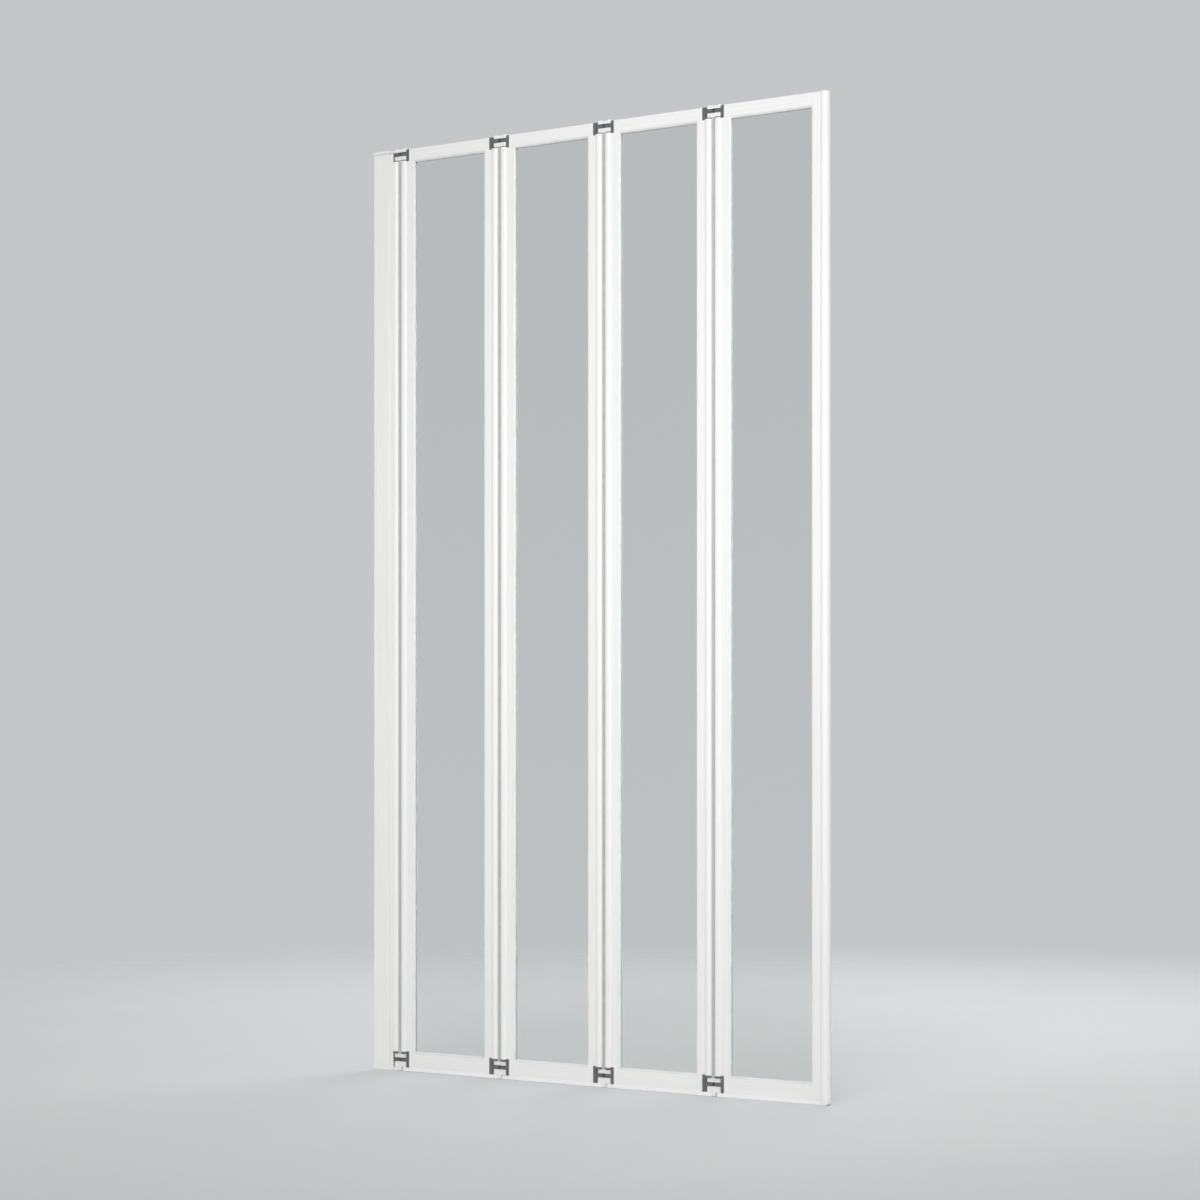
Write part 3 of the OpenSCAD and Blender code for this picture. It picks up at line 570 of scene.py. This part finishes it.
def round_opening(loop, low, high):
    """A section carried round a rectangle from low to high, mitred at its corners:
    at each one the distance outwards goes to both X and Z."""
    n = len(loop)
    d, y = np.tile(loop[:, 0], (4, 1)), np.tile(loop[:, 1], (4, 1))
    sx, sz = np.array([[-1], [1], [1], [-1]]), np.array([[-1], [-1], [1], [1]])
    x = np.where(sx > 0, high[0] + d, low[0] - d)
    z = np.where(sz > 0, high[1] + d, low[1] - d)
    grid = np.arange(4 * n).reshape(4, n)
    on, up = np.roll(grid, -1, 0), np.roll(grid, -1, 1)
    after = np.roll(on, -1, 1)
    faces = np.stack([grid, on, after, up], -1).reshape(-1, 4)
    return np.stack([x, y, z], -1).reshape(-1, 3), faces.tolist(), [0] * len(faces)


for k, axis, length in panes:
    ring = round_opening(gasket_loop, (axis + sight, sight_foot),
                         (axis + length - sight, sight_top))
    piece(f"panel_{k}_glazing_gasket", [ring], f"panel_{k}", f"panel_{k}_gasket", "grey_seal",
          soft_pvc)

# ---- Drip seals --------------------------------------------------------------
# White PVC strips under the bottom rails. Two soft fins run down both sides and round
# the ends, hollow between them, and a T-shaped head slides into the rail's slot.

# white PVC: opaque, satin, and a cleaner white than the coat above it; part of that extra white is
# painted light, brightening the foot edge where the floor shades it
white_pvc_and_painted_light, tree, shader = finish("white_pvc_extruded", IOR=1.53)
at = add(tree, "ShaderNodeTexCoord").outputs["Object"]
# these near-whites are partly the seal's own colour and partly painted light on the shaded foot
# edge
mottled(tree, shader, at, 20, "#FBFBFA", "#F7F7F6", 0.26, 0.34)

BAR = ((0, 1, 0), (0, 0, 1), (1, 0, 0))          # a section in Y and Z, carried along X
# heights, and how far in: from the hollow down, round the fins' tips, and up outside
fins = ((2.4, 2.2, 0.3, 0.08, 0, 0, 0.1, 0.4, 5.3, 5.5),
        (1.35, 1.2, 1.2, 1.1, 0.85, 0.35, 0.1, 0, 0, 0.2))
square_end = 4.85                                # the last strip stops short of the end cap
head = rounded([(-2.5, 0, 0), (2.5, 0, 0), (2.5, 1.0, 0), (3.25, 1.0, 0.2), (3.25, 2.2, 0.3),
                (-3.25, 2.2, 0.3), (-3.25, 1.0, 0.2), (-2.5, 1.0, 0)])
for k, axis, length in panes:
    left = arc(0, 0, flat, 90, 270, 24)
    if k < 4:
        right = arc(length, 0, flat, -90, 90, 24)
    else:
        right = [(length - square_end, -flat, 0.2), (length - square_end, flat, 0.2)]
    plan = rounded(np.vstack([left, right]))
    strip = carried([plan], fins, UP, (axis, 0, 0))
    slide = carried([head], rim(lip_x, length - lip_x, 0, 0), BAR, (axis, 0, bar_foot))
    piece(f"panel_{k}_drip_strip", [strip, slide], f"panel_{k}", f"panel_{k}_drip_seal",
          "white_seal", white_pvc_and_painted_light)

# ---- Bearing blocks and their screws -----------------------------------------
# A grey nylon block at every corner with a pivot: an arm round the pin, a leg in the
# stile's notch and a key in the rail. A pan-head screw runs up the stile's port and
# a countersunk one goes through the rail into the key, both stainless.

key_x, pan_seat, sunk_in_rail = 26.95, 2.2, 2.5
countersunk = [(0, 1.0), (0.6, 1.0, 1), (1, 0.12, 1), (1.95, 0.0), (2.55, 0.02), (2.7, 0.12),
               (1.35, 1.4), (1.3, 5.6), (0.8, 6.0), (0, 6.0)]
for k, axis, length in panes:
    dress(f"panel_{k}_hinge_blocks", nylon, moulded_edge)
    corner = []
    for x, way in ((axis, 1), (axis + length, -1)):
        for pan_z, sunk_z, axes in ((bar_top - pan_seat, bar_top, DOWN),
                                    (bar_foot + pan_seat, bar_foot + sunk_in_rail, UP)):
            corner.append(turned(pan_screw(32), axes, (x + way * port_x, 0, pan_z), recess))
            corner.append(turned(countersunk, axes, (x + way * key_x, 0, sunk_z), recess))
    piece(f"panel_{k}_corner_screws", corner, f"panel_{k}", f"panel_{k}_screws", "steel", stainless)

# ---- Free end ----------------------------------------------------------------
# The last stile has no pivots. Two white ABS caps close its ends, each with a key
# into the rail; the lower one has a well rounded outer corner.

dress("free_end_caps", moulded_white, moulded_edge)

# ---- Studio ------------------------------------------------------------------
# Not part of the object: a plain pale floor that fades into a pale surround, a soft
# lamp with a grid at the front right, one behind, a weak one overhead, and even
# light all round.

floor_finish, tree, shader = finish("pale_studio_floor", Roughness=0.7)
at = add(tree, "ShaderNodeTexCoord").outputs["Object"]
mottled(tree, shader, at, 400, "#E0E2E3", "#DEE0E1", 0.65, 0.75)
# full up to 1.2 m from the wall channel, and gone at 3.4 m
away = add(tree, "ShaderNodeVectorMath", {"operation": "LENGTH"}, {0: at})
fade = add(tree, "ShaderNodeMapRange", {"interpolation_type": "SMOOTHSTEP", 1: 1.2, 2: 3.4},
           {"Value": away.outputs["Value"]})
nothing = add(tree, "ShaderNodeBsdfTransparent")
gone = add(tree, "ShaderNodeMixShader", links={0: fade.outputs[0], 1: shader.outputs[0],
                                               2: nothing.outputs[0]})
output = next(n for n in tree.nodes if n.bl_idname == "ShaderNodeOutputMaterial")
tree.links.new(gone.outputs[0], output.inputs["Surface"])

middle_x, floor_r, floor_z, sides = 0.425, 3.6, -0.0003, 96
a = np.linspace(0, 2 * math.pi, sides, endpoint=False)
disc = np.column_stack([middle_x + floor_r * np.cos(a), floor_r * np.sin(a), 0 * a + floor_z])
floor_mesh = bpy.data.meshes.new("studio_floor")
floor_mesh.from_pydata(disc, [], [list(range(sides))])
floor_mesh.materials.append(floor_finish)
floor = bpy.data.objects.new("studio_floor", floor_mesh)
bpy.context.scene.collection.objects.link(floor)

world = bpy.data.worlds.new("studio_surround")
bpy.context.scene.world = world
world.use_nodes = True
tree = world.node_tree
tree.nodes.clear()
path = add(tree, "ShaderNodeLightPath")
even = add(tree, "ShaderNodeBackground", {"Color": linear("#FFFFFF"), "Strength": 0.5})
pale = add(tree, "ShaderNodeBackground", {"Color": linear("#C4C6C8"), "Strength": 1.0})
# what gloss and glass mirror: bright low down and overhead, and dim in between
towards = add(tree, "ShaderNodeTexCoord").outputs["Generated"]
up = add(tree, "ShaderNodeSeparateXYZ", links={0: towards})
height = add(tree, "ShaderNodeMapRange", {1: -1.0, 2: 1.0}, {0: up.outputs["Z"]})
dim = add(tree, "ShaderNodeValToRGB", links={0: height.outputs[0]})
dim.color_ramp.interpolation = "EASE"
for place, level in ((0.44, 1.0), (0.6, 0.16), (0.68, 0.2), (0.9, 0.9)):
    stop = dim.color_ramp.elements.new(place)
    stop.color = (level, level, level, 1)
for end in (-1, 0):
    dim.color_ramp.elements.remove(dim.color_ramp.elements[end])
mirror = add(tree, "ShaderNodeBackground", {"Strength": 1.0}, {"Color": dim.outputs[0]})
straight = add(tree, "ShaderNodeMath", {"operation": "MAXIMUM"},
               {0: path.outputs["Is Camera Ray"], 1: path.outputs["Is Transmission Ray"]})
gloss = add(tree, "ShaderNodeMixShader", links={0: path.outputs["Is Glossy Ray"],
                                                1: even.outputs[0], 2: mirror.outputs[0]})
both = add(tree, "ShaderNodeMixShader", links={0: straight.outputs[0], 1: gloss.outputs[0],
                                               2: pale.outputs[0]})
add(tree, "ShaderNodeOutputWorld", links={"Surface": both.outputs[0]})


def lamp(name, place, aim, size, power, spread=180, mirrored=True):
    """A square soft lamp of a size in metres, turned to face its aim, with a grid that
    keeps its light within a spread in degrees. One that isn't mirrored leaves no
    hard-edged image of itself in the glass."""
    data = bpy.data.lights.new(name, "AREA")
    data.size, data.energy, data.spread = size, power, math.radians(spread)
    made = bpy.data.objects.new(name, data)
    place, aim = np.array(place, float), np.array(aim, float)
    to = aim - place
    made.location = place
    made.rotation_euler = (math.atan2(math.hypot(to[0], to[1]), -to[2]), 0,
                           math.atan2(to[1], to[0]) - math.pi / 2)
    made.visible_glossy = made.visible_transmission = mirrored
    bpy.context.scene.collection.objects.link(made)


lamp("soft_lamp_right", (1.9, -2.6, 2.0), (0.64, 0, 0.88), 1.8, 8.5, 50)
lamp("soft_lamp_back", (-0.6, 3.4, 2.4), (0.4, 0, 0.7), 2.4, 52, mirrored=False)
lamp("soft_lamp_overhead", (0.4, 0, 4.2), (0.4, 0, 0), 3.5, 18, mirrored=False)

# The camera stands to the right of the screen, level, at 518 mm; its frame is
# shifted up so that the uprights stay parallel.
camera_data = bpy.data.cameras.new("photo_view")
camera_data.lens, camera_data.sensor_width, camera_data.shift_y = 104.55, 36.0, 0.1084
camera = bpy.data.objects.new("photo_view", camera_data)
camera.location = (3.6155, -3.940, 0.518)
camera.rotation_euler = (math.pi / 2, 0, math.radians(38.9))
bpy.context.scene.collection.objects.link(camera)
bpy.context.scene.camera = camera
bpy.context.scene.view_settings.view_transform = "Standard"
